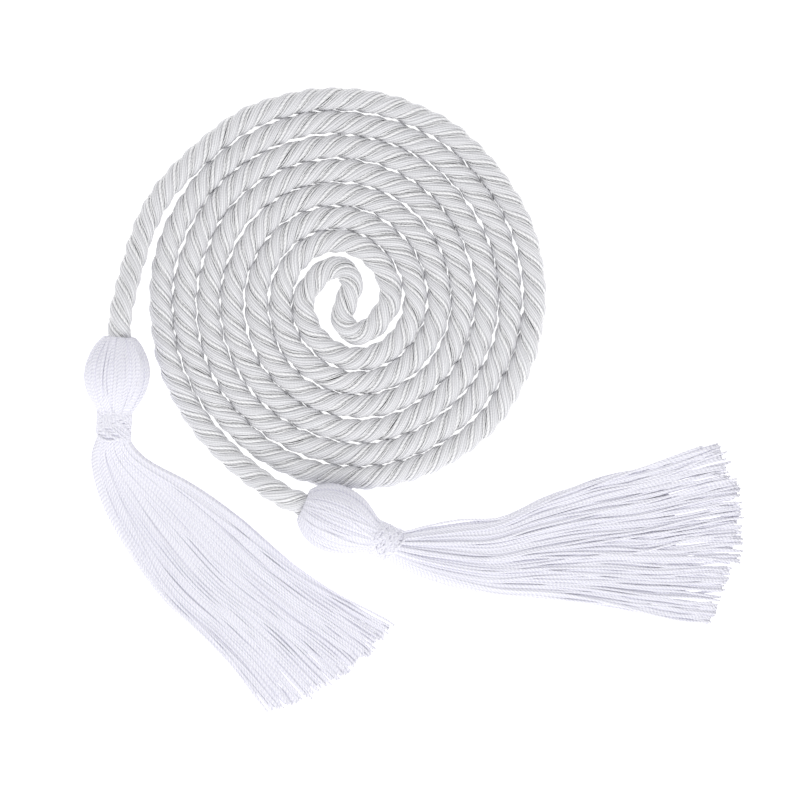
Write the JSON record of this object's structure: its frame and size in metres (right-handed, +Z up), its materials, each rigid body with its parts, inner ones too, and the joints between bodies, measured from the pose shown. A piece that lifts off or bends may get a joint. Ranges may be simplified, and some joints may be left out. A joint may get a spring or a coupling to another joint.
{
  "type": "tasselled twisted cord",
  "caption": "Twisted satin rope wound flat into a double spiral, with a round-headed thread tassel on each free end.",
  "frame": {"origin": "on the floor, below the middle of the whole laid cord's box", "axes": "+Z up from the surface it lies on, +X towards the right-hand tassel's tips, +Y towards the top of the coil as pictured"},
  "size_m": [0.1848, 0.1752, 0.0188],
  "materials": {
    "satin_rope": "silver-white satin rayon, glossy along its yarns",
    "tassel_head": "cool white twisted thread, soft sheen",
    "wound_thread": "cool white wound thread, soft sheen",
    "fringe_thread": "cool white twisted fringe threads, soft sheen"
  },
  "bodies": {
    "root": {"cord_coil": "satin_rope", "cord_tail_left": "satin_rope", "cord_tail_right": "satin_rope", "tassel_head_left": "tassel_head", "tassel_head_right": "tassel_head", "neck_binding_left": "wound_thread", "neck_binding_right": "wound_thread", "skirt_left": "fringe_thread", "skirt_right": "fringe_thread"}
  },
  "joints": []
}
